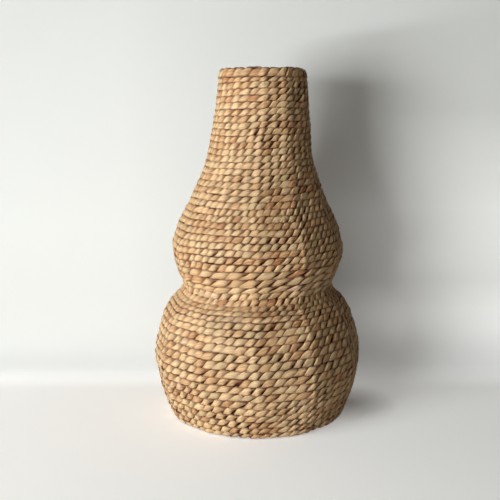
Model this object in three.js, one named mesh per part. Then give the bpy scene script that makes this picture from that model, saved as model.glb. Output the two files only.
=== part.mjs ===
// Woven urn with two round lobes and a tall neck, twined in seagrass over an iron wire frame.
// Millimetres, +Z up, standing on z = 0 with its front towards -Y.
//
// How it goes together, from the inside out:
//   a hub ring and twelve ribs, each rib one rod bent from the hub, under the base and up to the rim;
//   level rings that lie inside the ribs and tie them together;
//   a woven base mat under the ribs;
//   one long spiral of twined seagrass, spliced from many lengths, that climbs round the ribs;
//   a thick border that closes the rim over the rib ends.
import * as THREE from 'three';

// Outer profile, from the foot to the rim: radius of each station, and its rise above the one below
const footRadius = 155;
const heelRadius = 175;
const heelRise = 43;
const bellyRadius = 188;
const bellyRise = 61;
const upperBellyRadius = 176;
const upperBellyRise = 60;
const tuckRadius = 158;
const tuckRise = 40;
const waistRadius = 135;
const waistRise = 26;
const collarRadius = 143;
const collarRise = 26;
const lobeRadius = 154;
const lobeRise = 40;
const upperLobeRadius = 144;
const upperLobeRise = 42;
const shoulderRadius = 119;
const shoulderRise = 52;
const neckFootRadius = 96;
const neckFootRise = 62;
const neckRadius = 84;
const neckRise = 76;
const rimRadius = 77;
const rimRise = 67;

// The neck leans a little towards +X, from the top of the upper lobe to the rim
const neckLean = 8.5;

// Spiral courses: height of one turn of the paired strands, measured along the wall
const bellyCourse = 13.7;
const tuckCourse = 10;
const rollCourse = 14.4;
const lobeCourse = 11.8;
const neckCourse = 11;

// Thickness of the weave either side of the middle of the wall
const outerPly = 4.5;
const innerPly = 5;
const plyOverRib = 0.8;

// Lengths of paired strand that are spliced end to end along the spiral
const weftLengths = 28;
const shortestEnd = 3;

// Wire frame
const ribCount = 12;
const ribWire = 5;
const ringWire = 5;
const wireSides = 5;
const hubRadius = 32;
const baseRingRadius = 108;

// How far a straight run of a rib may crowd the courses behind it, and how far it may stand off
const ribPress = 0.28;
const ribSlack = 1.6;

// How flat the panels between two ribs lie, at the foot and from the belly up: 0 is round, 1 is flat
const footFlatness = 0.3;
const panelFlatness = 0.9;

// Base mat
const matThickness = 9;
const matRecess = 4;
const matRound = 2;
const standingWidth = 24;
const matCourses = 4;
const matGroove = 1.6;
const matCentre = 14;

// Rim border
const borderHeight = 15;
const borderWidth = 16.5;
const borderRound = 5;

// Clearances: between pieces that touch, and between a rib and the flanks of its channel
const seatGap = 0.3;
const channelGap = 0.7;

// Lengths closer than this count as equal
const finest = 0.001;

const seagrassColours = [0xc9a06c, 0xbf9560, 0xd2ac7b, 0xb78c5a];
const matColour = 0xb98f5e;
const borderColour = 0xc59b68;
const ironColour = 0x2b2724;

// Outer profile as a smooth curve of radius (x) against height (y)
const rises = [
  [footRadius, 0],
  [heelRadius, heelRise],
  [bellyRadius, bellyRise],
  [upperBellyRadius, upperBellyRise],
  [tuckRadius, tuckRise],
  [waistRadius, waistRise],
  [collarRadius, collarRise],
  [lobeRadius, lobeRise],
  [upperLobeRadius, upperLobeRise],
  [shoulderRadius, shoulderRise],
  [neckFootRadius, neckFootRise],
  [neckRadius, neckRise],
  [rimRadius, rimRise],
];
let climbed = 0;
const stations = rises.map(([radius, rise]) => {
  climbed += rise;
  return new THREE.Vector2(radius, climbed);
});
const profile = new THREE.SplineCurve(stations);
profile.arcLengthDivisions = 1200;
const wallLength = profile.getLength();
const [, , belly, upperBelly, tuck, waist, collar, lobe, upperLobe, shoulder] = stations;
const [neckFoot, , rim] = stations.slice(-3);

const sides = ribCount * 2;
const ribAngle = (2 * Math.PI) / ribCount;
const ribWireRadius = ribWire / 2;
const ringWireRadius = ringWire / 2;

// A point on the wall, at a length up the outer profile and a depth under its surface
function wallPoint(length, depth) {
  const share = Math.min(Math.max(length / wallLength, 0), 1);
  const point = profile.getPointAt(share);
  const along = profile.getTangentAt(share);
  return new THREE.Vector2(point.x - along.y * depth, point.y + along.x * depth);
}

// The length up the wall at which a layer at this depth reaches a height
function lengthAtHeight(height, depth) {
  let low = 0;
  let high = wallLength;
  while (high - low > finest) {
    const middle = (low + high) / 2;
    if (wallPoint(middle, depth).y < height) low = middle;
    else high = middle;
  }
  return low;
}

// The wall is round at the ribs and flatter midway between them; odd sides fall midway
function panelFactor(side, height) {
  const fullyFlat = 1 - Math.cos(ribAngle / 2);
  const aboveFoot = THREE.MathUtils.smoothstep(height, 0, belly.y);
  const flatness = THREE.MathUtils.lerp(footFlatness, panelFlatness, aboveFoot);
  return side % 2 === 0 ? 1 : 1 - flatness * fullyFlat;
}

function leanAt(height) {
  return neckLean * THREE.MathUtils.smoothstep(height, upperLobe.y, rim.y);
}

// Puts a radius and height of the meridian plane at one side of the urn
function place(point, side) {
  const angle = (side * ribAngle) / 2;
  const radius = point.x * panelFactor(side, point.y);
  const x = radius * Math.cos(angle) + leanAt(point.y);
  return new THREE.Vector3(x, radius * Math.sin(angle), point.y);
}

// Skins a row of equal rings of points into one closed body, joined end to end or capped
function skin(rings, joined) {
  const count = rings[0].length;
  const corners = rings.flat();
  const faces = [];
  const steps = joined ? rings.length : rings.length - 1;
  for (let i = 0; i < steps; i++) {
    const here = i * count;
    const next = ((i + 1) % rings.length) * count;
    for (let k = 0; k < count; k++) {
      const after = (k + 1) % count;
      faces.push([here + k, here + after, next + after], [here + k, next + after, next + k]);
    }
  }
  if (!joined) {
    const last = (rings.length - 1) * count;
    for (let k = 1; k < count - 1; k++) {
      faces.push([0, k + 1, k], [last, last + k, last + k + 1]);
    }
  }
  let volume = 0;
  for (const [a, b, c] of faces) {
    volume += corners[a].dot(new THREE.Vector3().crossVectors(corners[b], corners[c]));
  }
  const outward = volume > 0 ? faces : faces.map(([a, b, c]) => [a, c, b]);
  const geometry = new THREE.BufferGeometry();
  const coordinates = corners.flatMap((corner) => [corner.x, corner.y, corner.z]);
  geometry.setAttribute('position', new THREE.Float32BufferAttribute(coordinates, 3));
  geometry.setIndex(outward.flat());
  geometry.computeVertexNormals();
  return geometry;
}

const urn = new THREE.Group();

function addPiece(name, geometry, material) {
  const mesh = new THREE.Mesh(geometry, material);
  mesh.name = name;
  urn.add(mesh);
}

function seagrass(colour) {
  return new THREE.MeshStandardMaterial({ color: colour, roughness: 0.8, metalness: 0 });
}

const iron = new THREE.MeshStandardMaterial({ color: ironColour, roughness: 0.55, metalness: 0.6 });

function twoDigits(number) {
  return String(number).padStart(2, '0');
}

// Height of a course at a length up the wall, blended between the zones of the weave
function courseHeight(length) {
  const height = wallPoint(length, 0).y;
  const zones = [
    [belly.y, bellyCourse],
    [upperBelly.y, bellyCourse],
    [(tuck.y + waist.y) / 2, tuckCourse],
    [waist.y, tuckCourse],
    [collar.y, rollCourse],
    [(collar.y + lobe.y) / 2, rollCourse],
    [lobe.y, lobeCourse],
    [shoulder.y, lobeCourse],
    [neckFoot.y, neckCourse],
  ];
  if (height <= zones[0][0]) return zones[0][1];
  for (let i = 1; i < zones.length; i++) {
    const [top, topCourse] = zones[i];
    const [bottom, bottomCourse] = zones[i - 1];
    if (height < top) {
      return bottomCourse + ((topCourse - bottomCourse) * (height - bottom)) / (top - bottom);
    }
  }
  return neckCourse;
}

// Seam under the spiral, one value for each side passed. It stays at the foot for the first turn
// and climbs one course height a turn from there, so the first and last turns taper to nothing.
const seam = [];
for (let i = 0; i <= sides; i++) seam.push(0);
while (seam[seam.length - 1] < wallLength) {
  const here = seam[seam.length - 1];
  seam.push(Math.min(wallLength, here + courseHeight(here) / sides));
}
const spiralSides = seam.length;
for (let i = 0; i < sides; i++) seam.push(wallLength);

function courseAt(step) {
  const low = seam[step] + seatGap / 2;
  const high = seam[step + sides] - seatGap / 2;
  return { low, high, middle: (low + high) / 2, height: high - low };
}

// How full a course is: 1 at its full height, less where the first and last turns taper
function fullnessOf(course) {
  return Math.min(1, course.height / (courseHeight(course.middle) - seatGap));
}

// One course in section: its crown on the outer profile, its seams in the middle of the wall,
// and an inner crown that is shallow where the course passes over a rib
function courseSection(step) {
  const course = courseAt(step);
  const fullness = fullnessOf(course);
  const inner = step % 2 === 0 ? plyOverRib : innerPly;
  return [
    place(wallPoint(course.low, outerPly), step),
    place(wallPoint(course.middle, outerPly * (1 - fullness)), step),
    place(wallPoint(course.high, outerPly), step),
    place(wallPoint(course.middle, outerPly + inner * fullness), step),
  ];
}

function between(ringA, ringB, share) {
  return ringA.map((point, k) => point.clone().lerp(ringB[k], share));
}

// The spiral is cut into lengths that use the same amount of strand, each cut behind a rib
function spliceSteps(first, last) {
  const used = [0];
  for (let step = first; step < last; step++) {
    const chord = courseSection(step)[1].distanceTo(courseSection(step + 1)[1]);
    used.push(used[used.length - 1] + chord);
  }
  const total = used[used.length - 1];
  const cuts = [];
  for (let i = 0; i <= weftLengths; i++) {
    const wanted = (total * i) / weftLengths;
    const step = first + used.findIndex((length) => length >= wanted - finest);
    const behindRib = i === 0 || i === weftLengths ? step : Math.round(step / 2) * 2;
    cuts.push(behindRib);
  }
  return cuts;
}

function buildWeft() {
  let first = 0;
  while (courseAt(first).height < shortestEnd) first++;
  let last = spiralSides - 1;
  while (courseAt(last).height < shortestEnd) last--;
  const cuts = spliceSteps(first, last);
  for (let i = 0; i < weftLengths; i++) {
    const rings = [];
    for (let step = cuts[i]; step <= cuts[i + 1]; step++) rings.push(courseSection(step));
    const end = rings.length - 1;
    const startChord = rings[0][1].distanceTo(rings[1][1]);
    const endChord = rings[end][1].distanceTo(rings[end - 1][1]);
    rings[0] = between(rings[0], rings[1], seatGap / 2 / startChord);
    rings[end] = between(rings[end], rings[end - 1], seatGap / 2 / endChord);
    const colour = seagrassColours[i % seagrassColours.length];
    addPiece(`weft_${twoDigits(i + 1)}`, skin(rings, false), seagrass(colour));
  }
}

// Radius inside the first turn of the spiral, from the floor up to the top of the base mat
function innerFoot() {
  let least = wallPoint(0, outerPly).x;
  for (let step = 0; courseAt(step).low < matThickness; step++) {
    const course = courseAt(step);
    const inner = wallPoint(course.middle, outerPly + innerPly * fullnessOf(course));
    const seamPoint = wallPoint(course.low, outerPly);
    const share = Math.min(1, (matThickness - seamPoint.y) / (inner.y - seamPoint.y));
    least = Math.min(least, seamPoint.x + (inner.x - seamPoint.x) * share);
  }
  return least;
}

// Depth of a rib's centre under the outer profile, and of a ring that lies inside the ribs
const ribDepth = outerPly + plyOverRib + channelGap + ribWireRadius;
const ringDepth = ribDepth + ribWireRadius + seatGap + ringWireRadius;
const ribFloor = matThickness + seatGap + ribWireRadius;
const matEdge = innerFoot() - seatGap;

// Heights of the level rings up the wall
const ringHeights = {
  belly_ring: belly.y,
  waist_ring: waist.y,
  lobe_ring: lobe.y,
  neck_ring: neckFoot.y,
  rim_ring: rim.y - seatGap - ringWireRadius,
};

// Picks the bends of a rib: it runs straight as long as it stays on or inside the courses
function tautPath(points) {
  const path = [points[0]];
  let from = 0;
  while (from < points.length - 1) {
    let to = from + 1;
    while (to < points.length - 1 && !points[to].fixed && isClear(points, from, to + 1)) to++;
    path.push(points[to]);
    from = to;
  }
  return path;
}

function isClear(points, from, to) {
  const chord = points[to].clone().sub(points[from]);
  const outward = new THREE.Vector2(chord.y, -chord.x).normalize();
  return points.slice(from + 1, to).every((point) => {
    const proud = point.clone().sub(points[from]).dot(outward);
    return proud > -ribPress && proud < ribSlack;
  });
}

// Seats of one rib up the wall: the inner crown of every course that it meets, and every ring
function ribSeats(side) {
  const lengths = [];
  for (let step = side; step < spiralSides; step += sides) {
    const course = courseAt(step);
    if (course.height > shortestEnd) lengths.push({ length: course.middle, fixed: false });
  }
  for (const height of Object.values(ringHeights)) {
    lengths.push({ length: lengthAtHeight(height, ringDepth), fixed: true });
  }
  lengths.sort((a, b) => a.length - b.length);
  const seats = [];
  for (const { length, fixed } of lengths) {
    const seat = wallPoint(length, ribDepth);
    seat.fixed = fixed;
    if (seat.y > ribFloor + ribWire && seat.y < rim.y - ribWire) seats.push(seat);
  }
  const top = wallPoint(lengthAtHeight(rim.y - seatGap, ribDepth), ribDepth);
  top.fixed = true;
  seats.push(top);
  return seats;
}

// Corners of a wire's section about its centre, across two directions, with a flat facing the first
function wireSection(centre, across, beside, wireRadius) {
  const ring = [];
  for (let k = 0; k < wireSides; k++) {
    const turn = ((k + 0.5) * 2 * Math.PI) / wireSides;
    const corner = centre.clone();
    corner.addScaledVector(across, wireRadius * Math.cos(turn));
    corner.addScaledVector(beside, wireRadius * Math.sin(turn));
    ring.push(corner);
  }
  return ring;
}

// One rod: out from the hub over the base mat, round the heel and up inside the weave
function buildRib(index) {
  const side = index * 2;
  const start = new THREE.Vector2(hubRadius + ringWireRadius + seatGap, ribFloor);
  const heel = new THREE.Vector2(matEdge, ribFloor);
  heel.fixed = true;
  const path = [start, ...tautPath([heel, ...ribSeats(side)])];
  const radial = new THREE.Vector3(Math.cos(index * ribAngle), Math.sin(index * ribAngle), 0);
  const beside = new THREE.Vector3(-radial.y, radial.x, 0);
  const rings = path.map((point, i) => {
    const before = path[Math.max(i - 1, 0)];
    const after = path[Math.min(i + 1, path.length - 1)];
    const along = after.clone().sub(before).normalize();
    const outward = radial.clone().multiplyScalar(along.y).setZ(-along.x);
    return wireSection(place(point, side), outward, beside, ribWireRadius);
  });
  addPiece(`rib_${twoDigits(index + 1)}`, skin(rings, false), iron);
}

// A level ring, bent at every rib so that it runs straight behind the flat panels
function buildRing(name, centre) {
  const rings = [];
  const up = new THREE.Vector3(0, 0, 1);
  for (let side = 0; side < sides; side += 2) {
    const angle = (side * ribAngle) / 2;
    const outward = new THREE.Vector3(Math.cos(angle), Math.sin(angle), 0);
    rings.push(wireSection(place(centre, side), outward, up, ringWireRadius));
  }
  addPiece(name, skin(rings, true), iron);
}

function buildFrame() {
  buildRing('hub_ring', new THREE.Vector2(hubRadius, ribFloor));
  const onRibs = ribFloor + ribWireRadius + seatGap + ringWireRadius;
  buildRing('base_ring', new THREE.Vector2(baseRingRadius, onRibs));
  for (const [name, height] of Object.entries(ringHeights)) {
    buildRing(name, wallPoint(lengthAtHeight(height, ringDepth), ringDepth));
  }
  for (let i = 0; i < ribCount; i++) buildRib(i);
}

function levelRing(radius, height) {
  const ring = [];
  for (let side = 0; side < sides; side++) ring.push(place(new THREE.Vector2(radius, height), side));
  return ring;
}

// Base mat: flat on its outer band, hollowed and grooved between its courses underneath
function buildMat() {
  const hollow = matEdge - standingWidth;
  const course = (hollow - matCentre) / matCourses;
  const rings = [];
  for (let i = 0; i < matCourses; i++) {
    const start = matCentre + i * course;
    rings.push(levelRing(start, matRecess + matGroove), levelRing(start + course / 2, matRecess));
  }
  rings.push(levelRing(hollow, matRecess + matGroove));
  rings.push(levelRing(hollow + matRecess, 0));
  rings.push(levelRing(matEdge - matRound, 0));
  rings.push(levelRing(matEdge, matRound));
  rings.push(levelRing(matEdge, matThickness - matRound));
  rings.push(levelRing(matEdge - matRound, matThickness));
  rings.push(levelRing(matCentre, matThickness));
  addPiece('base_mat', skin(rings, false), seagrass(matColour));
}

// Rim border: a thick round roll that sits on the last course and over the rib ends
function buildBorder() {
  const bottom = rim.y + seatGap;
  const top = rim.y + borderHeight;
  const outer = rimRadius;
  const inner = rimRadius - borderWidth;
  const rings = [
    levelRing(inner, bottom + borderRound),
    levelRing(inner + borderRound, bottom),
    levelRing(outer - borderRound, bottom),
    levelRing(outer, bottom + borderRound),
    levelRing(outer, top - borderRound),
    levelRing(outer - borderRound, top),
    levelRing(inner + borderRound, top),
    levelRing(inner, top - borderRound),
  ];
  addPiece('rim_border', skin(rings, true), seagrass(borderColour));
}

buildFrame();
buildMat();
buildWeft();
buildBorder();

export default urn;
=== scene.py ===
# Looks of a woven seagrass urn: two strands twined in one long spiral over an iron wire frame.
# The frame gives the solids: +Z up, front towards -Y. Sizes are in millimetres unless said otherwise,
# and MM turns them into the frame's metres.
import math

import bpy
import numpy as np
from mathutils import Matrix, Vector


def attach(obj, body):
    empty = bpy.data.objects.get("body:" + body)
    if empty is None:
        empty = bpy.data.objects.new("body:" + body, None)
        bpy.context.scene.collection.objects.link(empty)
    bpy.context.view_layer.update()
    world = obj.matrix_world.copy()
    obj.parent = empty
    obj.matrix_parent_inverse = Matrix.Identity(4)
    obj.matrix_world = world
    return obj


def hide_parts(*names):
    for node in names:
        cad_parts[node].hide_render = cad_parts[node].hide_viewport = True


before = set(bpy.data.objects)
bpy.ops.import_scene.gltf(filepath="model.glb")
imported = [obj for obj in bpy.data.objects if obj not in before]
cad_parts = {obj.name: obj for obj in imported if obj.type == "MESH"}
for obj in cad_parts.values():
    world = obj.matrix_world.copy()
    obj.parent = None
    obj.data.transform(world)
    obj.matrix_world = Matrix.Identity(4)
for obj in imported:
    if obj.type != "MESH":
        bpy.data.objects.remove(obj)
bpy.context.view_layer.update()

MM = 0.001

# Outer profile, from the foot to the rim: radius of each station and its rise above the one below
PROFILE = {
    "foot": (155, 0),
    "heel": (175, 43),
    "belly": (188, 61),
    "upper belly": (176, 60),
    "tuck": (158, 40),
    "waist": (135, 26),
    "collar": (143, 26),
    "lobe": (154, 40),
    "upper lobe": (144, 42),
    "shoulder": (119, 52),
    "neck foot": (96, 62),
    "neck": (84, 76),
    "rim": (77, 67),
}
HEIGHT = dict(zip(PROFILE, np.cumsum([rise for _, rise in PROFILE.values()])))
RIM_RADIUS = PROFILE["rim"][0]
PROFILE_SAMPLES = 200
NECK_LEAN = 8.5

# Ribs and the panels between them: 0 is round and 1 is flat from rib to rib
RIBS = 12
SIDES = RIBS * 2
FOOT_FLATNESS = 0.2
PANEL_FLATNESS = 0.65
FOOT_SPREAD = 4.5
FOOT_SPREAD_TOP = 26.0

# Courses of the spiral, measured up the wall
BELLY_COURSE = 13.7
TUCK_COURSE = 10.0
ROLL_COURSE = 14.4
LOBE_COURSE = 11.8
NECK_COURSE = 11.0
SEAT_GAP = 0.3
SHORTEST_END = 3.0
LEAST_COURSE = 8.0
RUN_OUT_SIDES = 4
WEFT_LENGTHS = 28

# How far hand-laid courses stray: reach, waves round the urn, wave length up the wall, start
STRAY_UP = [(0.9, 3, 47, 0), (0.6, 5, -23, 1.3), (0.35, 11, 9.7, 0)]
STRAY_OUT = [(0.8, 4, 31, 0.7), (0.5, 9, -13, 0), (0.35, 17, 6.1, 0)]
MOST_OUT = 0.3
STRAY_FROM_END = 20.0

# Stitches a turn
BODY_STITCHES = 60.12
ROLL_STITCHES = 34
NECK_STITCHES = 38
RIM_STITCHES = 30

# The twined pair in the wall. Width and thickness are shares of the course's height.
STEPS_A_STITCH = 10
SECTION_POINTS = 10
AXIS_DEPTH = 6.0
FULL_COURSE = 9.0
SWING_OUT = 4.1
INSIDE_SWING = -0.45
STRAND_WIDTH = 1.22
STRAND_THICKNESS = 0.46
LIFT_OFF_FLOOR = 0.2
END_SEAT = 0.6
WALL_SEED = 4.0

# One strand over a full twist, from back to front to back again: its edges, and how far it is out
UPPER_EDGE = [
    (0.0, 0.5), (0.07, 0.1), (0.15, 0.25), (0.28, 0.6), (0.41, 0.9),
    (0.54, 1.0), (0.78, 0.98), (0.9, 0.82), (1.0, 0.5),
]
LOWER_EDGE = [
    (0.0, 0.4), (0.05, 0.04), (0.16, 0.0), (0.38, 0.0), (0.51, 0.06),
    (0.65, 0.26), (0.78, 0.52), (0.89, 0.69), (1.0, 0.4),
]
OUT_PATH = [
    (0.0, 0.0), (0.05, 0.4), (0.10, 0.76), (0.16, 0.92), (0.28, 1.0),
    (0.45, 0.98), (0.60, 0.88), (0.75, 0.70), (0.90, 0.42), (1.0, 0.0),
]
TUCK_ROLL = math.radians(36)
PLUMP_BACK = 1.1
PLUMP_FRONT = 0.9
SQUEEZE = 0.5
CREASE_SHARPNESS = 9.0
CREASE_DEPTH = 0.3

# What changes from stitch to stitch: its seed and how far it strays either way
CHANCES = {
    "width": (11.0, 0.13),
    "swing": (7.0, 0.16),
    "height": (17.0, 0.06),
    "roll": (31.0, 0.2),
    "crease": (21.0, 0.5),
}
CREASE_SEED = 5.0
TONE_SEED = 40.0

# What wanders slowly along a strand: scale a stitch, seed, detail
PLACE_WANDER = (0.8, 3.7, 1.0)
SQUEEZE_WANDER = (2.3, 9.1, 1.0)
TONE_WANDER = (0.11, 60.0, 2.0)
STITCH_WANDER = 0.75

# Marks that a strand carries for its finish: its own tone, and where painted shade darkens it
OWN_TONE = 0.5
SHARED_TONE = 0.7
TONE_SHIFT = 0.1
# Painted shade where the strand dives in behind a stake, set a little late so that it falls on the end
# away from the lamps
DIVE_LATE = 0.2
# Painted shade in the cleft between courses, from this share of a course away from its middle
CLEFT_STARTS = 0.44
CLEFT_SLOPE = 8.0

# Flat cord inside a pair, over the hidden stakes
CORE_DEPTH = 1.0
CORE_THICKNESS = 2.4
CORE_HALF_HEIGHT = 0.56
CORE_STEP = 6.0
CORE_POINTS = 6
CORE_TONE = 0.3

# Rim border
BORDER_HEIGHT = 15.0
BORDER_RISE = 0.4
BORDER_WIDTH = 18.0
BORDER_AXIS = 1.7
BORDER_TILT = math.radians(18)
BORDER_STITCHES = 61
BORDER_OVERLAP = 0.25
BORDER_CROSSING = 0.02
BORDER_TAPER_STITCHES = 1.5
BORDER_END = 0.15
BORDER_SWING = 4.4
BORDER_STRAND_WIDTH = 1.12
BORDER_STRAND_THICKNESS = 0.42
BORDER_SEED = 11.0

# Base mat: a spiral laid flat, hollowed inside its standing band
OUTER_PLY = 4.5
MAT_THICKNESS = 9.0
MAT_LIFT = 0.2
MAT_START_RADIUS = 12.0
MAT_LEAST_RADIUS = 0.33
MAT_COURSE = 12.4
MAT_STITCH = 17.0
MAT_SAMPLES = 4000
MAT_RUN_OUT_TURNS = 0.7
MAT_END = 0.3
MAT_BAND = 24.0
MAT_BAND_EDGE = 12.0
MAT_HOLLOW = 2.5
MAT_SWING = 2.2
MAT_STRAND_WIDTH = 1.06
MAT_STRAND_THICKNESS = 0.38
MAT_SEED = 23.0

# Dry seagrass tones, from the rare red-brown stems to the palest ones
SEAGRASS_TONES = [
    (0.00, (128, 74, 48)),
    (0.10, (158, 106, 70)),
    (0.26, (184, 143, 101)),
    (0.46, (198, 163, 121)),
    (0.62, (205, 173, 132)),
    (0.76, (187, 160, 118)),
    (0.88, (191, 157, 128)),
    (1.00, (216, 191, 155)),
]
# Brown that painted shade goes over into, where a strand dives in and in the clefts
PAINTED_SHADE_BROWN = (112, 54, 18)
# The border and the base mat take the stem colour painted darker overall, as shade
BORDER_SHADE = 0.96
MAT_SHADE = 0.85

# Streaks in a stem: scale across it, scale along it, detail
BROAD_STREAKS = (2.2, 0.55, 2.0)
FINE_STREAKS = (9.0, 0.9, 4.0)
STREAKED_TONE = 0.35
FINE_LIGHT = 0.52
BROAD_LIGHT = 0.57
BROAD_CONTRAST = 0.9
# Painted shade: how much darker and browner a stem is painted where it dives in and in the clefts, and
# how much of a dive's painted shade the faces that look into the hollow lose
DIVE_SHADE = 0.34
CLEFT_SHADE = 0.4
DIVE_SHADE_BROWN = 0.7
CLEFT_SHADE_BROWN = 0.5
INSIDE_SLOPE = 30.0
INSIDE_SHADE_LOSS = 0.85
STEM_ROUGHNESS = 0.52
STREAK_ROUGHNESS = 0.22
STEM_SHINE = 0.3
STREAK_RELIEF = 0.6

# Painted iron
IRON_PAINT = (34, 31, 29)
IRON_RUST = (92, 58, 38)
PAINT_ENDS = 0.52
RUST_STARTS = 0.68
RUST_SCALE = 90.0
PAINT_RELIEF = 0.4

# Studio paper, and the greys of painted shade that it takes on. Stage, lamps and camera are in metres.
FLOOR_PAPER = (243, 244, 243)
WALL_PAPER = (213, 213, 210)
PAINTED_SHADE_PAPER = (120, 121, 119)
ROOM_PAPER = (205, 206, 203)
BOUNCE_WALL = (118, 107, 88)
BOUNCE_FLOOR = (238, 233, 222)
UPPER_SHADE = 0.46
UPPER_SHADE_FROM = 0.3
BEND_SHADE = 3.7
SIDE_SHADE = 0.5
SIDE_SHADE_FROM = 0.27

# Light that the camera sees added to the paper
FLOOR_LIFT = 0.385
FLOOR_LIFT_SLOPE = -0.12
UNDER_URN = (0.12, 0.14)
# Where that light is held back beside the foot, which paints a shadow there
SHADED_SPOT = (0.165, 0.01, 0.0)
SHADED_REACH = 0.1
SHADED_DEPTH = 0.75
WALL_LIFT = 0.25
WALL_LIFT_HEIGHTS = (0.54, 0.34)
WALL_LIFT_SIDE = (0.0278, 0.3056)
LOW_WALL_LIFT = 1.5
LOW_WALL_TOP = 0.19

# Sweep of paper: where its wall stands, the size of its bend, and how far it reaches
WALL_AT = 0.214
BEND = 0.14
BEND_STEPS = 32
BEND_MARGIN = 0.01
SWEEP_SIDE = 4.0
SWEEP_FRONT = -3.0
SWEEP_TOP = 3.0

# Lamps: degrees to the left of the camera, distance, height, size, watts
LAMPS = {
    "window": (40, 5.5, 0.42, (2.6, 1.6), 268),
    "high_window": (50, 2.8, 2.3, (1.6, 1.6), 42),
    "low_window": (47, 2.4, 0.06, (1.2, 0.2), 38),
}
LAMP_COLOUR = (0.95, 0.985, 1.0)
LAMP_AIM = Vector((0, 0, 0.35))
ROOM_COLOUR = (1.0, 0.78, 0.52, 1.0)
ROOM_STRENGTH = 0.04

# Camera: millimetres for the lens and the sensor
LENS = 57.6
SENSOR = 36.0
CAMERA_PLACE = (-0.0135, -1.415, 0.557)
CAMERA_DOWN = math.radians(10.59)


def catmull_rom(points, samples):
    """A smooth curve through the points, as dense samples."""
    points = np.array(points, float)
    last = len(points) - 1
    out = []
    for i in range(last):
        before, start = points[max(i - 1, 0)], points[i]
        end, after = points[i + 1], points[min(i + 2, last)]
        t = np.linspace(0, 1, samples, endpoint=i == last - 1)[:, None]
        pull_in, pull_out = (end - before) / 2, (after - start) / 2
        out.append(
            (2 * start - 2 * end + pull_in + pull_out) * t**3
            + (-3 * start + 3 * end - 2 * pull_in - pull_out) * t**2
            + pull_in * t
            + start
        )
    return np.concatenate(out)


def running_total(steps):
    return np.concatenate([[0], np.cumsum(steps)])


OUTLINE = catmull_rom([(radius, HEIGHT[name]) for name, (radius, _) in PROFILE.items()], PROFILE_SAMPLES)
OUTLINE_LENGTHS = running_total(np.hypot(*np.diff(OUTLINE, axis=0).T))
WALL_LENGTH = OUTLINE_LENGTHS[-1]
OUTLINE_ALONG = np.gradient(OUTLINE, OUTLINE_LENGTHS, axis=0)
OUTLINE_ALONG /= np.hypot(*OUTLINE_ALONG.T)[:, None]


def wall(length, depth):
    """Radius, height and direction up the wall at a length up the profile and a depth under it."""
    length = np.clip(length, 0, WALL_LENGTH)
    radius, height, along_r, along_z = (
        np.interp(length, OUTLINE_LENGTHS, column)
        for column in (*OUTLINE.T, *OUTLINE_ALONG.T)
    )
    return radius - along_z * depth, height + along_r * depth, along_r, along_z


def smooth_step(value, low, high):
    share = np.clip((value - low) / (high - low), 0, 1)
    return share * share * (3 - 2 * share)


def panel_factor(angle, height):
    """1 at each rib, and less midway between two, where the panel lies flatter."""
    half = math.pi / RIBS
    from_rib = (angle + half) % (2 * half) - half
    off_middle = half - np.abs(from_rib)
    flat = math.cos(half) / np.cos(off_middle)
    above_foot = smooth_step(height, 0, HEIGHT["belly"])
    return 1 - (FOOT_FLATNESS + (PANEL_FLATNESS - FOOT_FLATNESS) * above_foot) * (1 - flat)


def lean(height):
    return NECK_LEAN * smooth_step(height, HEIGHT["upper lobe"], HEIGHT["rim"])


def place(radius, height, angle):
    """Points in metres from a radius and height in millimetres and an angle round the urn."""
    flat = radius * panel_factor(angle, height)
    x = flat * np.cos(angle) + lean(height)
    return np.stack([x, flat * np.sin(angle), height + 0 * angle], axis=-1) * MM


def course_height(length):
    zones = [
        (HEIGHT["belly"], BELLY_COURSE),
        (HEIGHT["upper belly"], BELLY_COURSE),
        ((HEIGHT["tuck"] + HEIGHT["waist"]) / 2, TUCK_COURSE),
        (HEIGHT["waist"], TUCK_COURSE),
        (HEIGHT["collar"], ROLL_COURSE),
        ((HEIGHT["collar"] + HEIGHT["lobe"]) / 2, ROLL_COURSE),
        (HEIGHT["lobe"], LOBE_COURSE),
        (HEIGHT["shoulder"], LOBE_COURSE),
        (HEIGHT["neck foot"], NECK_COURSE),
    ]
    return float(np.interp(wall(length, 0)[1], *zip(*zones)))


def find_seams():
    """Length up the wall of the seam under the spiral, for each side passed."""
    seams = [0.0] * (SIDES + 1)
    while seams[-1] < WALL_LENGTH:
        seams.append(min(WALL_LENGTH, seams[-1] + course_height(seams[-1]) / SIDES))
    return np.array(seams + [WALL_LENGTH] * SIDES), len(seams)


SEAMS, SPIRAL_SIDES = find_seams()


def course_at(step):
    """Middle and height of the course at a place along the spiral, counted in sides."""
    steps = np.arange(len(SEAMS))
    low = np.interp(step, steps, SEAMS) + SEAT_GAP / 2
    high = np.interp(np.asarray(step) + SIDES, steps, SEAMS) - SEAT_GAP / 2
    return (low + high) / 2, high - low


def splice_steps():
    """Where the spiral is cut into lengths of equal strand, each cut behind a rib."""
    steps = np.arange(SPIRAL_SIDES)
    _, height = course_at(steps)
    whole = steps[height >= SHORTEST_END]
    first, last = whole[0], whole[-1]
    steps = np.arange(first, last + 1)
    middle, _ = course_at(steps)
    radius, z, _, _ = wall(middle, 0)
    corners = place(radius, z, steps * math.pi / RIBS)
    used = running_total(np.linalg.norm(np.diff(corners, axis=0), axis=1))
    wanted = used[-1] * np.arange(WEFT_LENGTHS + 1) / WEFT_LENGTHS
    cuts = first + np.searchsorted(used, wanted - 1e-6)
    cuts[1:-1] = np.round(cuts[1:-1] / 2) * 2
    return np.minimum(cuts, last)


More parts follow.
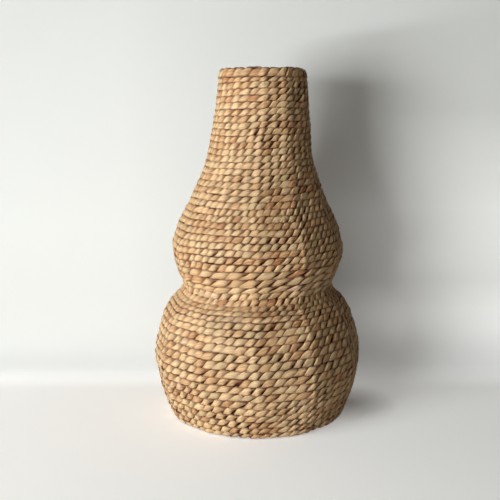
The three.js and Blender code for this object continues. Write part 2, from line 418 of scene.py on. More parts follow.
def stitches_a_turn(height):
    """Short stitches in the lobes, and longer ones in the roll over the waist and up the neck."""
    zones = [
        (HEIGHT["waist"] + 2, BODY_STITCHES),
        (HEIGHT["waist"] + 14, ROLL_STITCHES),
        (HEIGHT["collar"] + 22, ROLL_STITCHES),
        (HEIGHT["collar"] + 30, BODY_STITCHES),
        (HEIGHT["shoulder"] - 8, BODY_STITCHES),
        (HEIGHT["shoulder"] + 8, NECK_STITCHES),
        (HEIGHT["rim"] - 92, NECK_STITCHES),
        (HEIGHT["rim"] - 76, RIM_STITCHES),
    ]
    return np.interp(height, *zip(*zones))


def guide_mesh(name, points, outward, upward, phase, course):
    """A line of points that carries what the twining needs at each of them, in metres."""
    mesh = bpy.data.meshes.new(name)
    edges = [(i, i + 1) for i in range(len(points) - 1)]
    mesh.from_pydata([tuple(p) for p in points], edges, [])
    for label, values, kind in (
        ("outward", outward, "FLOAT_VECTOR"),
        ("upward", upward, "FLOAT_VECTOR"),
        ("phase", phase, "FLOAT"),
        ("course", course, "FLOAT"),
    ):
        field = "vector" if kind == "FLOAT_VECTOR" else "value"
        attribute = mesh.attributes.new(label, kind, "POINT")
        attribute.data.foreach_set(field, np.ascontiguousarray(values, np.float32).ravel())
    guide = bpy.data.objects.new(name, mesh)
    bpy.context.scene.collection.objects.link(guide)
    return guide


def connect(tree, value, socket):
    """Puts a number, a vector or another node's output into a socket."""
    if isinstance(value, Field):
        tree.links.new(value.socket, socket)
    elif isinstance(value, bpy.types.NodeSocket):
        tree.links.new(value, socket)
    else:
        socket.default_value = value


class Field:
    """A value inside a node tree that can be written as a formula."""

    def __init__(self, tree, socket):
        self.tree = tree
        self.socket = socket

    def is_vector(self):
        return self.socket.type == "VECTOR"

    def number(self, operation, *others):
        node = self.tree.nodes.new("ShaderNodeMath")
        node.operation = operation
        for slot, value in zip(node.inputs, (self, *others)):
            connect(self.tree, value, slot)
        return Field(self.tree, node.outputs[0])

    def vector(self, operation, other):
        node = self.tree.nodes.new("ShaderNodeVectorMath")
        node.operation = operation
        connect(self.tree, self, node.inputs[0])
        connect(self.tree, other, node.inputs["Scale" if operation == "SCALE" else 1])
        return Field(self.tree, node.outputs[0])

    def distance(self, place_from):
        node = self.tree.nodes.new("ShaderNodeVectorMath")
        node.operation = "DISTANCE"
        connect(self.tree, self, node.inputs[0])
        node.inputs[1].default_value = place_from
        return Field(self.tree, node.outputs["Value"])

    def __add__(self, other):
        return self.vector("ADD", other) if self.is_vector() else self.number("ADD", other)

    def __sub__(self, other):
        return self.vector("SUBTRACT", other) if self.is_vector() else self.number("SUBTRACT", other)

    def __mul__(self, other):
        return self.vector("SCALE", other) if self.is_vector() else self.number("MULTIPLY", other)

    def parts(self):
        node = self.tree.nodes.new("ShaderNodeSeparateXYZ")
        connect(self.tree, self, node.inputs[0])
        return [Field(self.tree, output) for output in node.outputs]

    def not_below_nought(self):
        return self.number("MAXIMUM", 0.0)

    def within_one(self):
        return self.not_below_nought().number("MINIMUM", 1.0)

    def ramp(self, nought, one):
        """0 on one side of a span and 1 on the other, straight between them."""
        slope = 1 / (one - nought)
        return (self * slope - nought * slope).within_one()

    def curve(self, points):
        """Reads a value between 0 and 1 off a smooth curve through the points."""
        node = self.tree.nodes.new("ShaderNodeFloatCurve")
        curve = node.mapping.curves[0]
        while len(curve.points) < len(points):
            curve.points.new(0.5, 0.5)
        for point, location in zip(curve.points, points):
            point.location = location
        node.mapping.update()
        connect(self.tree, self, node.inputs["Value"])
        return Field(self.tree, node.outputs[0])


def vector_of(tree, x, y, z):
    node = tree.nodes.new("ShaderNodeCombineXYZ")
    for value, slot in zip((x, y, z), node.inputs):
        connect(tree, value, slot)
    return Field(tree, node.outputs[0])


def named(tree, name, kind="FLOAT"):
    node = tree.nodes.new("GeometryNodeInputNamedAttribute")
    node.data_type = kind
    node.inputs["Name"].default_value = name
    return Field(tree, node.outputs["Attribute"])


def stored(tree, geometry, name, value, kind="FLOAT"):
    node = tree.nodes.new("GeometryNodeStoreNamedAttribute")
    node.data_type = kind
    node.inputs["Name"].default_value = name
    tree.links.new(geometry, node.inputs["Geometry"])
    connect(tree, value, node.inputs["Value"])
    return node.outputs["Geometry"]


def with_place(tree, geometry, name):
    """Keeps each point's place as an attribute that later steps can still read."""
    here = tree.nodes.new("GeometryNodeInputPosition")
    return stored(tree, geometry, name, here.outputs[0], "FLOAT_VECTOR")


def white_noise(tree, number, seed):
    """A value from 0 to 1 that is fixed for each whole number."""
    node = tree.nodes.new("ShaderNodeTexWhiteNoise")
    node.noise_dimensions = "2D"
    connect(tree, vector_of(tree, number, seed, 0.0), node.inputs["Vector"])
    return Field(tree, node.outputs["Value"])


def wandering(tree, position, seed, wander):
    """A slow wander between about 0 and 1 along a number."""
    scale, own_seed, detail = wander
    node = tree.nodes.new("ShaderNodeTexNoise")
    node.noise_dimensions = "2D"
    node.inputs["Scale"].default_value = scale
    node.inputs["Detail"].default_value = detail
    connect(tree, vector_of(tree, position, seed + own_seed, 0.0), node.inputs["Vector"])
    return Field(tree, node.outputs[0])


def new_tree(name, inputs):
    tree = bpy.data.node_groups.new(name, "GeometryNodeTree")
    tree.interface.new_socket("Geometry", in_out="INPUT", socket_type="NodeSocketGeometry")
    for label, kind in inputs:
        tree.interface.new_socket(label, in_out="INPUT", socket_type="NodeSocket" + kind)
    tree.interface.new_socket("Geometry", in_out="OUTPUT", socket_type="NodeSocketGeometry")
    return tree, tree.nodes.new("NodeGroupInput"), tree.nodes.new("NodeGroupOutput")


def swept(tree, curve, sides):
    """A tube along a curve, whose points know their place in its section, from -1 to 1 both ways."""
    ring = tree.nodes.new("GeometryNodeCurvePrimitiveCircle")
    connect(tree, sides, ring.inputs["Resolution"])
    ring.inputs["Radius"].default_value = 1.0
    sweep = tree.nodes.new("GeometryNodeCurveToMesh")
    tree.links.new(curve, sweep.inputs["Curve"])
    tree.links.new(with_place(tree, ring.outputs["Curve"], "section"), sweep.inputs["Profile Curve"])
    sweep.inputs["Fill Caps"].default_value = True
    return sweep.outputs["Mesh"]


def off_centre(tree, out_part, up_part):
    """The point that lies so far out of the wall and so far up it from the middle of the pair."""
    outward = named(tree, "outward", "FLOAT_VECTOR")
    upward = named(tree, "upward", "FLOAT_VECTOR")
    return named(tree, "centre", "FLOAT_VECTOR") + outward * out_part + upward * up_part


def moved(tree, mesh, point):
    move = tree.nodes.new("GeometryNodeSetPosition")
    tree.links.new(mesh, move.inputs["Geometry"])
    connect(tree, point, move.inputs["Position"])
    return move.outputs["Geometry"]


STRAND_INPUTS = [
    ("Swing out", "Float"),
    ("Inside", "Float"),
    ("Width", "Float"),
    ("Thickness", "Float"),
    ("Floor", "Float"),
    ("Sides", "Int"),
    ("Seed", "Float"),
    ("First", "Float"),
    ("Last", "Float"),
]


def strand_tree():
    """One strand of a twined pair: it swings out over one stake and in behind the next."""
    tree, start, end = new_tree("Twined strand", STRAND_INPUTS + [("Half turns on", "Float")])

    def given(label):
        return Field(tree, start.outputs[label])

    phase = named(tree, "phase") + given("Half turns on")
    seed = given("Seed") + given("Half turns on")
    course = named(tree, "course")

    # Which twist this point is in, and how far through it
    loose = phase + (wandering(tree, phase, seed, PLACE_WANDER) - 0.5) * STITCH_WANDER
    twist = (loose * 0.5 + 0.5).number("FLOOR")
    share = loose * 0.5 + 0.5 - twist
    turn = (loose - twist * 2.0) * math.pi
    frontness = turn.number("COSINE") * 0.5 + 0.5

    def chance(what):
        own_seed, spread = CHANCES[what]
        return (white_noise(tree, twist, seed + own_seed) - 0.5) * (spread * 2)

    past_ends = tree.nodes.new("GeometryNodeDeleteGeometry")
    tree.links.new(with_place(tree, start.outputs["Geometry"], "centre"), past_ends.inputs["Geometry"])
    before = (given("First") - phase).number("GREATER_THAN", 0.01)
    after = (phase - given("Last")).number("GREATER_THAN", 0.01)
    connect(tree, before + after, past_ends.inputs["Selection"])
    to_curve = tree.nodes.new("GeometryNodeMeshToCurve")
    tree.links.new(past_ends.outputs[0], to_curve.inputs["Mesh"])
    tube = swept(tree, to_curve.outputs["Curve"], given("Sides"))
    through_section, across_section, _ = named(tree, "section", "FLOAT_VECTOR").parts()

    # Width between the strand's two edges
    upper = share.curve(UPPER_EDGE) - 0.5
    lower = share.curve(LOWER_EDGE) - 0.5
    band = course * given("Width") * (chance("width") + 1.0)
    sideways = band * (upper - lower) * 0.5 * across_section

    # Thickness, with a crease along the stem
    squeeze = wandering(tree, phase, seed, SQUEEZE_WANDER) - 0.5
    plump = frontness * (PLUMP_FRONT - PLUMP_BACK) + PLUMP_BACK + squeeze * SQUEEZE
    from_crease = across_section - chance("crease")
    crease = (from_crease * from_crease * -CREASE_SHARPNESS).number("EXPONENT")
    thin = crease * (white_noise(tree, twist, seed + CREASE_SEED) * -CREASE_DEPTH) + 1.0
    through = given("Thickness") * course * plump * 0.5 * through_section * thin

    # The strand leans over as it dives in behind the next stake
    ending = turn.number("SINE").not_below_nought()
    roll = ending * ending * -TUCK_ROLL + chance("roll")

    inside = given("Inside")
    swung = share.curve(OUT_PATH) * (inside * -1.0 + 1.0) + inside
    fullness = (course * (1 / (FULL_COURSE * MM))).number("MINIMUM", 1.0)
    reach_out = given("Swing out") * fullness * (chance("swing") + 1.0) * swung
    reach_up = band * (upper + lower) * 0.5 + course * chance("height")
    out_part = reach_out + through * roll.number("COSINE") - sideways * roll.number("SINE")
    up_part = reach_up + through * roll.number("SINE") + sideways * roll.number("COSINE")
    x, y, z = off_centre(tree, out_part, up_part).parts()
    resting = vector_of(tree, x, y, z.number("MAXIMUM", given("Floor")))

    own = white_noise(tree, twist, seed + TONE_SEED)
    shared = wandering(tree, phase, seed, TONE_WANDER)
    off_middle = up_part.number("ABSOLUTE").number("DIVIDE", course)
    # The tone is the stem's own; the other two marks say where painted shade darkens the strand, as it
    # dives in and near the edges of its course
    marks = {
        "tone": own * OWN_TONE + shared * SHARED_TONE - TONE_SHIFT,
        "dive_shade": (turn + DIVE_LATE * math.pi).number("COSINE") * -0.5 + 0.5,
        "cleft_shade": ((off_middle - CLEFT_STARTS) * CLEFT_SLOPE).within_one(),
    }
    shown = moved(tree, tube, resting)
    for label, value in marks.items():
        shown = stored(tree, shown, label, value)
    fibre = vector_of(tree, across_section, through_section, phase)
    tree.links.new(stored(tree, shown, "fibre", fibre, "FLOAT_VECTOR"), end.inputs[0])
    return tree


def core_tree():
    """The flat cord that a pair is twined over. It closes what shows between the strands and is painted
    in full shade, dark brown.
    """
    tree, start, end = new_tree("Core cord", [("Thickness", "Float"), ("Depth", "Float")])
    to_curve = tree.nodes.new("GeometryNodeMeshToCurve")
    tree.links.new(with_place(tree, start.outputs["Geometry"], "centre"), to_curve.inputs["Mesh"])
    coarse = tree.nodes.new("GeometryNodeResampleCurve")
    coarse.mode = "LENGTH"
    coarse.inputs["Length"].default_value = CORE_STEP * MM
    tree.links.new(to_curve.outputs["Curve"], coarse.inputs["Curve"])
    tube = swept(tree, coarse.outputs["Curve"], CORE_POINTS)
    through_section, across_section, _ = named(tree, "section", "FLOAT_VECTOR").parts()
    half_thick = Field(tree, start.outputs["Thickness"]) * 0.5
    out_part = through_section * half_thick - Field(tree, start.outputs["Depth"])
    up_part = across_section * named(tree, "course") * CORE_HALF_HEIGHT
    shown = moved(tree, tube, off_centre(tree, out_part, up_part))
    # Painted shade: the cord counts as fully dived in and fully in a cleft
    for label, value in (("tone", CORE_TONE), ("dive_shade", 1.0), ("cleft_shade", 1.0)):
        shown = stored(tree, shown, label, value)
    tree.links.new(shown, end.inputs[0])
    return tree


def pair_tree():
    """Two strands half a turn apart over their core cord, smoothed and given their finish."""
    tree, start, end = new_tree("Twined pair", STRAND_INPUTS + [("Finish", "Material")])
    join = tree.nodes.new("GeometryNodeJoinGeometry")
    core = tree.nodes.new("GeometryNodeGroup")
    core.node_tree = core_tree()
    core.inputs["Thickness"].default_value = CORE_THICKNESS * MM
    core.inputs["Depth"].default_value = CORE_DEPTH * MM
    tree.links.new(start.outputs["Geometry"], core.inputs["Geometry"])
    tree.links.new(core.outputs[0], join.inputs[0])
    strand = strand_tree()
    for half_turns in (0.0, 1.0):
        one = tree.nodes.new("GeometryNodeGroup")
        one.node_tree = strand
        tree.links.new(start.outputs["Geometry"], one.inputs["Geometry"])
        for label, _ in STRAND_INPUTS:
            tree.links.new(start.outputs[label], one.inputs[label])
        one.inputs["Half turns on"].default_value = half_turns
        tree.links.new(one.outputs[0], join.inputs[0])
    smooth = tree.nodes.new("GeometryNodeSetShadeSmooth")
    real = tree.nodes.new("GeometryNodeRealizeInstances")
    finish = tree.nodes.new("GeometryNodeSetMaterial")
    tree.links.new(join.outputs[0], smooth.inputs["Geometry"])
    tree.links.new(smooth.outputs[0], real.inputs["Geometry"])
    tree.links.new(real.outputs[0], finish.inputs["Geometry"])
    tree.links.new(start.outputs["Finish"], finish.inputs["Material"])
    tree.links.new(finish.outputs[0], end.inputs[0])
    return tree


def twined_piece(name, node, guide, tree, values):
    """Runs the twining on a guide, keeps the result as a plain mesh and puts it in the node's place."""
    source = guide_mesh(name + "_guide", *guide)
    modifier = source.modifiers.new("nodes", "NODES")
    modifier.node_group = tree
    for item in tree.interface.items_tree:
        if item.in_out == "INPUT" and item.name in values:
            modifier[item.identifier] = values[item.name]
    graph = bpy.context.evaluated_depsgraph_get()
    mesh = bpy.data.meshes.new_from_object(source.evaluated_get(graph), depsgraph=graph)
    mesh.name = name
    bpy.data.objects.remove(source)
    piece = bpy.data.objects.new(name, mesh)
    bpy.context.scene.collection.objects.link(piece)
    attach(piece, "root")
    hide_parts(node)


def phase_along(steps, heights):
    """Stitches counted along the spiral, from its start."""
    rate = stitches_a_turn(heights)
    return running_total((rate[1:] + rate[:-1]) / 2 * np.diff(steps / SIDES))


def stray(waves, length, angle):
    """How far hand-laid courses stray from their line."""
    return sum(reach * np.sin(count * angle + length / span + at) for reach, count, span, at in waves)


def odd_near(number):
    return int(round((number - 1) / 2)) * 2 + 1


def course_guides():
    """One guide for each length of strand, with a point at every step of every stitch."""
    cuts = splice_steps()
    cuts[0] = max(cuts[0] - RUN_OUT_SIDES, 0)
    cuts[-1] = min(cuts[-1] + RUN_OUT_SIDES, SPIRAL_SIDES - 2)
    fine = np.arange(0, SPIRAL_SIDES - 1, 0.02)
    fine_phase = phase_along(fine, wall(course_at(fine)[0], 0)[1])
    for low, high in zip(cuts[:-1], cuts[1:]):
        first, last = (odd_near(np.interp(cut, fine, fine_phase)) for cut in (low, high))
        phase = np.linspace(first - 1, last, (last - first + 1) * STEPS_A_STITCH + 1)
        step = np.interp(phase, fine_phase, fine)
        angle = step * math.pi / RIBS
        middle, height = course_at(step)
        height = np.maximum(height, LEAST_COURSE)
        from_end = np.minimum(middle, WALL_LENGTH - middle)
        up = stray(STRAY_UP, middle, angle) * np.clip(from_end / STRAY_FROM_END, 0, 1)
        out = np.minimum(stray(STRAY_OUT, middle, angle), MOST_OUT)
        middle = np.maximum(middle + up, height * END_SEAT)
        depth = (AXIS_DEPTH - out) * np.minimum(1, height / FULL_COURSE)
        radius, z, along_r, along_z = wall(middle, depth)
        radius = radius + FOOT_SPREAD * (1 - smooth_step(z, 0, FOOT_SPREAD_TOP))
        round_it = np.stack([np.cos(angle), np.sin(angle)], axis=-1)
        outward = np.concatenate([round_it * along_z[:, None], -along_r[:, None]], axis=1)
        upward = np.concatenate([round_it * along_r[:, None], along_z[:, None]], axis=1)
        inner = np.clip(middle, height / 2, WALL_LENGTH - height / 2)
        low_edge, high_edge = (wall(inner + side * height / 2, AXIS_DEPTH) for side in (-1, 1))
        spacing = np.hypot(high_edge[0] - low_edge[0], high_edge[1] - low_edge[1])
        yield first, last, (place(radius, z, angle), outward, upward, phase, spacing * MM)


def twine_wall(tree, finish):
    values = {
        "Swing out": SWING_OUT * MM,
        "Inside": INSIDE_SWING,
        "Width": STRAND_WIDTH,
        "Thickness": STRAND_THICKNESS,
        "Floor": LIFT_OFF_FLOOR * MM,
        "Sides": SECTION_POINTS,
        "Seed": WALL_SEED,
        "Finish": finish,
    }
    for index, (first, last, guide) in enumerate(course_guides(), start=1):
        own = values | {"First": float(first), "Last": float(last)}
        twined_piece(f"twined_length_{index:02d}", f"weft_{index:02d}", guide, tree, own)


def twine_border(tree, finish):
    """The thick edge: one pair round the outside of the rim, over at the back, and round the inside."""
    share = np.linspace(0, 1, BORDER_STITCHES * STEPS_A_STITCH + 1)
    angle = math.pi / 2 + (share - 0.5) * (4 * math.pi + 2 * BORDER_OVERLAP)
    crossed = smooth_step(share, 0.5 - BORDER_CROSSING, 0.5 + BORDER_CROSSING)
    tilt = BORDER_TILT + (math.pi - 2 * BORDER_TILT) * crossed
    radius = RIM_RADIUS - BORDER_WIDTH / 2 + BORDER_AXIS * np.cos(tilt)
    height = HEIGHT["rim"] + BORDER_HEIGHT * BORDER_RISE + BORDER_AXIS * np.sin(tilt)
    round_it = np.stack([np.cos(angle), np.sin(angle)], axis=-1)
    outward = np.concatenate([round_it * np.cos(tilt)[:, None], np.sin(tilt)[:, None]], axis=1)
    upward = np.concatenate([round_it * -np.sin(tilt)[:, None], np.cos(tilt)[:, None]], axis=1)
    phase = share * BORDER_STITCHES
    to_end = np.minimum(phase, BORDER_STITCHES - phase)
    spacing = BORDER_HEIGHT * MM * np.clip(to_end / BORDER_TAPER_STITCHES, BORDER_END, 1)
    values = {
        "Swing out": BORDER_SWING * MM,
        "Inside": INSIDE_SWING,
        "First": -1.0,
        "Last": BORDER_STITCHES + 1.0,
        "Width": BORDER_STRAND_WIDTH,
        "Thickness": BORDER_STRAND_THICKNESS,
        "Floor": LIFT_OFF_FLOOR * MM,
        "Sides": SECTION_POINTS,
        "Seed": BORDER_SEED,
        "Finish": finish,
    }
    guide = (place(radius, height, angle), outward, upward, phase, spacing)
    twined_piece("woven_border", "rim_border", guide, tree, values)


def twine_base(tree, finish):
    """The woven mat underneath: the same twining, laid flat and hollowed in its middle."""
    outer = wall(0, OUTER_PLY)[0] - SEAT_GAP + FOOT_SPREAD
    turns = (outer - MAT_START_RADIUS) / MAT_COURSE
    turn = np.linspace(0, turns + MAT_RUN_OUT_TURNS, MAT_SAMPLES)
    radii = MAT_START_RADIUS + MAT_COURSE * turn
    length = running_total(2 * math.pi * (radii[1:] + radii[:-1]) / 2 * np.diff(turn))
    stitches = length[-1] / MAT_STITCH
    phase = np.linspace(0, stitches, int(stitches * STEPS_A_STITCH) + 1)
    turn = np.interp(phase * MAT_STITCH, length, turn)
    course = MAT_COURSE * np.clip(turns + 1 - turn, MAT_END, 1)
    radius = MAT_START_RADIUS + MAT_COURSE * (turn - 0.5)
    radius = np.minimum(np.maximum(radius, MAT_START_RADIUS * MAT_LEAST_RADIUS), outer - course / 2)
    angle = turn * 2 * math.pi
    hollow = np.clip((outer - MAT_BAND - radius) / MAT_BAND_EDGE, 0, 1) * MAT_HOLLOW
    height = MAT_THICKNESS / 2 + MAT_LIFT + hollow
    level = np.zeros(len(phase))
    outward = np.stack([level, level, level - 1], axis=-1)
    upward = np.stack([np.cos(angle), np.sin(angle), level], axis=-1)
    values = {
        "Swing out": MAT_SWING * MM,
        "Inside": -1.0,
        "First": 0.0,
        "Last": stitches,
        "Width": MAT_STRAND_WIDTH,
        "Thickness": MAT_STRAND_THICKNESS,
        "Floor": 0.0,
        "Sides": SECTION_POINTS,
        "Seed": MAT_SEED,
        "Finish": finish,
    }
    guide = (place(radius, height, angle), outward, upward, phase, course * MM)
    twined_piece("woven_base", "base_mat", guide, tree, values)


def linear(red, green, blue):
    """A colour named as it looks on a screen, as the shader wants it."""
    def one(value):
        value /= 255
        return value / 12.92 if value <= 0.04045 else ((value + 0.055) / 1.055) ** 2.4
    return (one(red), one(green), one(blue), 1.0)


def new_material(name):
    material = bpy.data.materials.new(name)
    material.use_nodes = True
    tree = material.node_tree
    return material, tree, tree.nodes["Principled BSDF"]


def shader_node(tree, kind, **inputs):
    node = tree.nodes.new("ShaderNode" + kind)
    for label, value in inputs.items():
        connect(tree, value, node.inputs[label])
    return node


def attribute_field(tree, name, output="Fac"):
    node = tree.nodes.new("ShaderNodeAttribute")
    node.attribute_name = name
    return Field(tree, node.outputs[output])


def mixed(tree, factor, first, second):
    """One colour that goes over into another. Each is a plain colour or a node's output."""
    node = shader_node(tree, "Mix")
    node.data_type = "RGBA"
    for value, label in ((factor, "Factor"), (first, "A"), (second, "B")):
        connect(tree, value, node.inputs[label])
    return node.outputs["Result"]


def colour_ramp(tree, value, stops):
    node = shader_node(tree, "ValToRGB")
    marks = node.color_ramp.elements
    while len(marks) < len(stops):
        marks.new(0.5)
    for mark, (position, colour) in zip(marks, stops):
        mark.position = position
        mark.color = linear(*colour)
    connect(tree, value, node.inputs[0])
    return node.outputs[0]


def seagrass_material(name, shade=1.0):
    """Dry twined stems: one tone a stitch, long fibres, and painted shade where a strand dives inside
    and between courses.
    """
    material, tree, surface = new_material(name)
    across, side, along = attribute_field(tree, "fibre", "Vector").parts()

    def streaks(scale_across, scale_along, detail):
        place_in_stem = vector_of(tree, across * scale_across, side * scale_across, along * scale_along)
        node = shader_node(tree, "TexNoise", Vector=place_in_stem, Scale=1.0, Detail=detail)
        return Field(tree, node.outputs[0])

    broad = streaks(*BROAD_STREAKS)
    fine = streaks(*FINE_STREAKS)

    # Faces that look in at the hollow lose most of a dive's painted shade and keep the stem's own tone
    facing = shader_node(tree, "NewGeometry")
    normal_x, normal_y, _ = Field(tree, facing.outputs["Normal"]).parts()
    spot = shader_node(tree, "TexCoord")
    x, y, _ = Field(tree, spot.outputs["Object"]).parts()
    inward = ((normal_x * x + normal_y * y) * -INSIDE_SLOPE).within_one()
    dive_shade = attribute_field(tree, "dive_shade") * (inward * -INSIDE_SHADE_LOSS + 1.0)
    cleft_shade = attribute_field(tree, "cleft_shade")

    tone = attribute_field(tree, "tone") + (broad - 0.5) * STREAKED_TONE
    # Painted shade: stems go browner and darker where they dive in and in the clefts
    brown = (dive_shade * DIVE_SHADE_BROWN + cleft_shade * CLEFT_SHADE_BROWN).number("MINIMUM", 1.0)
    stem = mixed(tree, brown, colour_ramp(tree, tone, SEAGRASS_TONES), linear(*PAINTED_SHADE_BROWN))
    streaked = (fine + FINE_LIGHT) * (broad * BROAD_CONTRAST + BROAD_LIGHT)
    light = streaked * (dive_shade * -DIVE_SHADE + 1.0) * (cleft_shade * -CLEFT_SHADE + 1.0) * shade
    lit = shader_node(tree, "VectorMath")
    lit.operation = "SCALE"
    tree.links.new(stem, lit.inputs[0])
    connect(tree, light, lit.inputs["Scale"])
    tree.links.new(lit.outputs[0], surface.inputs["Base Color"])
    connect(tree, fine * STREAK_ROUGHNESS + STEM_ROUGHNESS, surface.inputs["Roughness"])
    surface.inputs["Specular IOR Level"].default_value = STEM_SHINE
    bump = shader_node(tree, "Bump", Strength=0.8, Distance=STREAK_RELIEF * MM, Height=fine)
    tree.links.new(bump.outputs[0], surface.inputs["Normal"])
    return material


def iron_material():
    """Thin black paint on wire, worn to brown rust in spots."""
    material, tree, surface = new_material("painted_iron")
    coords = shader_node(tree, "TexCoord")
    noise = shader_node(tree, "TexNoise", Vector=coords.outputs["Object"], Scale=RUST_SCALE, Detail=5.0)
    spots = Field(tree, noise.outputs[0])
    colour = colour_ramp(tree, spots, [(PAINT_ENDS, IRON_PAINT), (RUST_STARTS, IRON_RUST)])
    tree.links.new(colour, surface.inputs["Base Color"])
    connect(tree, spots * 0.5 + 0.25, surface.inputs["Roughness"])
    surface.inputs["Metallic"].default_value = 0.35
    bump = shader_node(tree, "Bump", Strength=0.4, Distance=PAINT_RELIEF * MM, Height=spots)
    tree.links.new(bump.outputs[0], surface.inputs["Normal"])
    return material


def seen_rays(tree):
    """One for the rays that show a background, nought for those that carry light."""
    seen = tree.nodes.new("ShaderNodeLightPath")
    rays = [Field(tree, seen.outputs[f"Is {kind} Ray"]) for kind in ("Camera", "Glossy", "Transmission")]
    return (rays[0] + rays[1] + rays[2]).number("MINIMUM", 1.0)


def paper_material():
    """Pale studio paper, one-sided. The camera sees it paler than the light that it throws back."""
    material, tree, surface = new_material("studio_paper")
    surface.inputs["Roughness"].default_value = 0.9
    surface.inputs["Specular IOR Level"].default_value = 0.1
    side = shader_node(tree, "NewGeometry")
    open_back = shader_node(tree, "BsdfTransparent")
    one_sided = shader_node(tree, "MixShader")
    tree.links.new(side.outputs["Backfacing"], one_sided.inputs[0])
    tree.links.new(surface.outputs[0], one_sided.inputs[1])
    tree.links.new(open_back.outputs[0], one_sided.inputs[2])
    tree.links.new(one_sided.outputs[0], tree.nodes["Material Output"].inputs["Surface"])

    shown = seen_rays(tree)
    level = Field(tree, side.outputs["Normal"]).parts()[2].not_below_nought()
    upright = level * -1.0 + 1.0
    spot = Field(tree, shader_node(tree, "TexCoord").outputs["Object"])
    across, _, height = spot.parts()

    # Painted shade: grey high up, at the far left and in the bend
    high_up = (height - UPPER_SHADE_FROM).not_below_nought() * (across * 0.2 + 1.1)
    far_left = (across * -1.0 - SIDE_SHADE_FROM).not_below_nought() * upright
    in_bend = level.number("POWER", 6.0) * upright * (across * -1.0 + 1.0)
    painted_shade = (high_up * UPPER_SHADE + in_bend * BEND_SHADE + far_left * SIDE_SHADE).number("MINIMUM", 1.0)
    # Painted light and shade: the floor part is paler than the wall part, to even out how the lamps fall
    # on each
    paper = mixed(tree, level.number("POWER", 4.0), linear(*WALL_PAPER), linear(*FLOOR_PAPER))
    shaded = mixed(tree, painted_shade, paper, linear(*PAINTED_SHADE_PAPER))
    bounce = mixed(tree, level, linear(*BOUNCE_WALL), linear(*BOUNCE_FLOOR))
    tree.links.new(mixed(tree, shown, bounce, shaded), surface.inputs["Base Color"])

    # Light added on the floor, but not under the urn, and low on the wall; held back beside the foot, it
    # leaves a painted shadow there
    painted_shadow = spot.distance(SHADED_SPOT).ramp(SHADED_REACH, 0.0)
    clear = spot.distance((0.0, 0.0, 0.0)).ramp(*UNDER_URN)
    on_floor = clear * level.number("POWER", 3.0) * (painted_shadow * -SHADED_DEPTH + 1.0)
    on_floor = on_floor * (across * FLOOR_LIFT_SLOPE + FLOOR_LIFT)
    low_down = height.ramp(*WALL_LIFT_HEIGHTS) + height.ramp(LOW_WALL_TOP, 0.0) * LOW_WALL_LIFT
    on_wall = low_down * across.ramp(*WALL_LIFT_SIDE) * upright * WALL_LIFT
    surface.inputs["Emission Color"].default_value = linear(*FLOOR_PAPER)
    connect(tree, shown * (on_floor + on_wall), surface.inputs["Emission Strength"])
    return material


def build_stage():
    """A pale floor that curves up into a wall close behind."""
    start = WALL_AT - BEND
    slopes = smooth_step(np.linspace(0, 1, BEND_STEPS), 0, 1) * math.pi / 2
    run, rise = np.cumsum(np.cos(slopes)), np.cumsum(np.sin(slopes))
    profile = [(SWEEP_FRONT, 0.0), (start - BEND_MARGIN, 0.0), (start, 0.0)]
    profile += [(start + y, z) for y, z in zip(run * BEND / run[-1], rise * BEND / run[-1])]
    profile += [(WALL_AT, BEND + BEND_MARGIN), (WALL_AT, SWEEP_TOP)]
    vertices = [(x, y, z) for y, z in profile for x in (-SWEEP_SIDE, SWEEP_SIDE)]
    faces = [(2 * i, 2 * i + 1, 2 * i + 3, 2 * i + 2) for i in range(len(profile) - 1)]
    mesh = bpy.data.meshes.new("studio_sweep")
    mesh.from_pydata(vertices, [], faces)
    mesh.polygons.foreach_set("use_smooth", [True] * len(faces))
    mesh.materials.append(paper_material())
    sweep = bpy.data.objects.new("studio_sweep", mesh)
    bpy.context.scene.collection.objects.link(sweep)


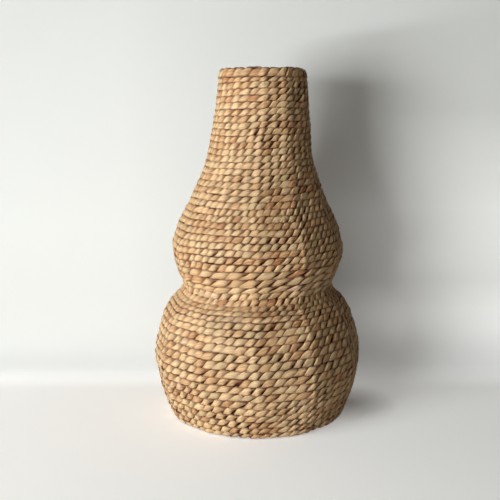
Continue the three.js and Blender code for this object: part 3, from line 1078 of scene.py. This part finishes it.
def build_lamps():
    """Soft rectangular lamps at the left, all aimed at the middle of the urn."""
    for name, (azimuth, distance, height, size, power) in LAMPS.items():
        data = bpy.data.lights.new(name, "AREA")
        data.shape = "RECTANGLE"
        data.size, data.size_y = size
        data.energy = power
        data.color = LAMP_COLOUR
        lamp = bpy.data.objects.new(name, data)
        bpy.context.scene.collection.objects.link(lamp)
        turn = math.radians(azimuth)
        lamp.location = (-distance * math.sin(turn), -distance * math.cos(turn), height)
        lamp.rotation_euler = (LAMP_AIM - lamp.location).to_track_quat("-Z", "Y").to_euler()


def build_room():
    """A dim warm room round the stage, which shows as pale grey behind the urn."""
    world = bpy.data.worlds.new("studio")
    bpy.context.scene.world = world
    world.use_nodes = True
    tree = world.node_tree
    dim = tree.nodes["Background"]
    dim.inputs["Color"].default_value = ROOM_COLOUR
    dim.inputs["Strength"].default_value = ROOM_STRENGTH
    pale = tree.nodes.new("ShaderNodeBackground")
    pale.inputs["Color"].default_value = linear(*ROOM_PAPER)
    shown = tree.nodes.new("ShaderNodeMixShader")
    connect(tree, seen_rays(tree), shown.inputs[0])
    tree.links.new(dim.outputs[0], shown.inputs[1])
    tree.links.new(pale.outputs[0], shown.inputs[2])
    tree.links.new(shown.outputs[0], tree.nodes["World Output"].inputs["Surface"])


def build_camera():
    data = bpy.data.cameras.new("camera")
    data.lens = LENS
    data.sensor_width = SENSOR
    data.sensor_fit = "HORIZONTAL"
    camera = bpy.data.objects.new("camera", data)
    bpy.context.scene.collection.objects.link(camera)
    camera.location = CAMERA_PLACE
    camera.rotation_euler = (math.radians(90) - CAMERA_DOWN, 0, 0)
    bpy.context.scene.camera = camera


def paint_iron():
    """The wires keep their solids and get their paint."""
    iron = iron_material()
    for name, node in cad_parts.items():
        if name.startswith("rib_") or name.endswith("_ring"):
            for slot in node.material_slots:
                slot.link = "OBJECT"
                slot.material = iron


build_camera()
build_stage()
build_lamps()
build_room()
bpy.context.scene.view_settings.view_transform = "Standard"
twined_pair = pair_tree()
twine_wall(twined_pair, seagrass_material("seagrass"))
twine_border(twined_pair, seagrass_material("seagrass_border", BORDER_SHADE))
twine_base(twined_pair, seagrass_material("seagrass_base", MAT_SHADE))
paint_iron()
